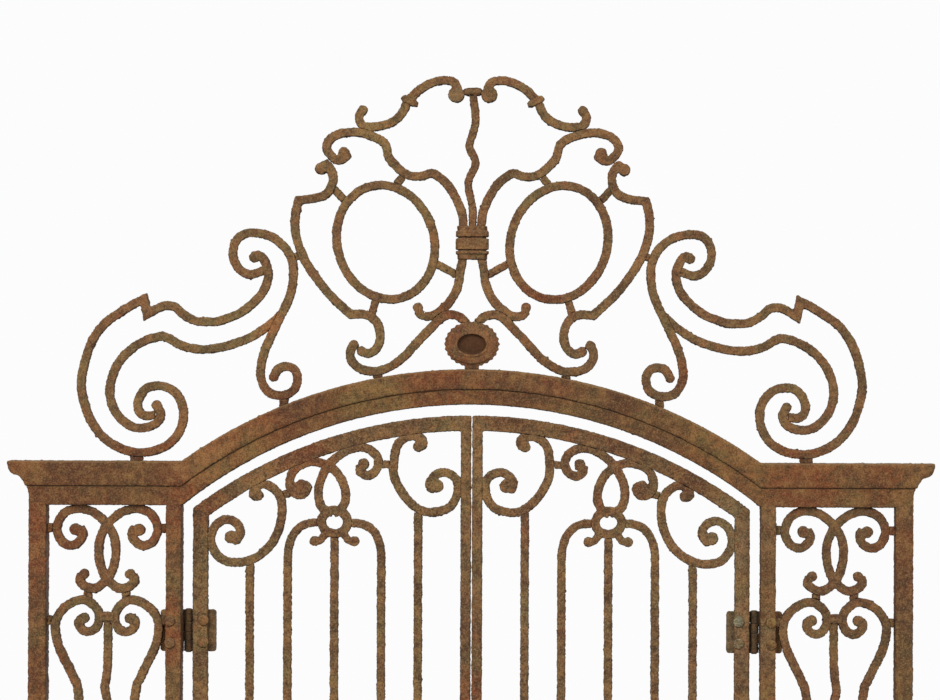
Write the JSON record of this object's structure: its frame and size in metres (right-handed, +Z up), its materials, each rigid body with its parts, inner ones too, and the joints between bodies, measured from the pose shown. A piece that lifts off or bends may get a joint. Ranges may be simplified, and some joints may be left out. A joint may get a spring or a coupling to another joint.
{
  "type": "garden gate",
  "caption": "Rusty wrought-iron garden gate with two arched leaves, scrolled side panels, an arched cornice and a crest of mirrored scrolls and volutes",
  "frame": {"origin": "on the ground, in the middle of the opening, half way through the posts", "axes": "+Z up, the front faces -Y, +X to the right as seen from the front"},
  "size_m": [1.856, 0.1, 2.7043],
  "materials": {
    "rusty_post": "thick granular brown rust on flat bar",
    "red_rust": "red-brown rust with olive patches",
    "scroll_rust": "granular brown rust on bent bar",
    "leaf_rust": "granular brown rust, greyer on the right leaf",
    "dark_rust": "dark brown rust",
    "ochre_rust": "ochre crusted bolt heads"
  },
  "bodies": {
    "frame": {"outer_post_left": "rusty_post", "outer_post_right": "rusty_post", "hinge_post_left": "rusty_post", "hinge_post_right": "rusty_post", "base_plates": "rusty_post", "panel_sills": "rusty_post", "head_bar": "red_rust", "cornice": "red_rust", "tie_collars": "scroll_rust", "wavy_rod": "scroll_rust", "binding_collar": "scroll_rust", "medallion": "scroll_rust", "top_scrolls": "scroll_rust", "shoulder_scrolls": "scroll_rust", "oval_rings": "scroll_rust", "shield_bars": "scroll_rust", "foot_scrolls": "scroll_rust", "outer_volutes": "scroll_rust", "inner_volutes": "scroll_rust", "loop_scrolls": "scroll_rust", "crest_blocks": "scroll_rust", "panel_knots": "scroll_rust", "panel_lyres": "scroll_rust", "panel_rods": "scroll_rust", "panel_blocks": "scroll_rust", "post_plates_left": "dark_rust", "post_plates_right": "dark_rust", "hinge_pins_left": "dark_rust", "hinge_pins_right": "dark_rust", "post_bolts": "ochre_rust"},
    "left_leaf": {"left_hinge_stile": "leaf_rust", "left_meeting_stile": "leaf_rust", "left_top_rail": "leaf_rust", "left_lock_rail": "leaf_rust", "left_bottom_rail": "leaf_rust", "left_bars": "leaf_rust", "left_arched_bar": "leaf_rust", "left_c_scrolls": "leaf_rust", "left_knot": "leaf_rust", "left_blocks": "leaf_rust", "left_hinge_plates": "dark_rust", "left_bolts": "ochre_rust", "slide_bolt_keeper": "dark_rust", "drop_bolt_guides": "dark_rust"},
    "right_leaf": {"right_hinge_stile": "leaf_rust", "right_meeting_stile": "leaf_rust", "right_top_rail": "leaf_rust", "right_lock_rail": "leaf_rust", "right_bottom_rail": "leaf_rust", "right_bars": "leaf_rust", "right_arched_bar": "leaf_rust", "right_c_scrolls": "leaf_rust", "right_knot": "leaf_rust", "right_blocks": "leaf_rust", "right_hinge_plates": "dark_rust", "right_bolts": "ochre_rust", "slide_bolt_guides": "dark_rust"},
    "slide_bolt": {"slide_bolt": "dark_rust"},
    "drop_bolt": {"drop_bolt": "dark_rust"}
  },
  "joints": [
    {"name": "left_leaf_hinge", "type": "hinge", "parent": "frame", "child": "left_leaf", "pos_m": [-0.5695, 0.025, 1.589], "axis": [0, 0, 1], "range_deg": [0, 100]},
    {"name": "right_leaf_hinge", "type": "hinge", "parent": "frame", "child": "right_leaf", "pos_m": [0.5695, 0.025, 1.589], "axis": [0, 0, -1], "range_deg": [0, 100]},
    {"name": "slide_bolt_slide", "type": "slide", "parent": "right_leaf", "child": "slide_bolt", "axis": [-1, 0, 0], "range_m": [0, 0.035]},
    {"name": "drop_bolt_slide", "type": "slide", "parent": "left_leaf", "child": "drop_bolt", "axis": [0, 0, -1], "range_m": [0, 0.055]}
  ]
}
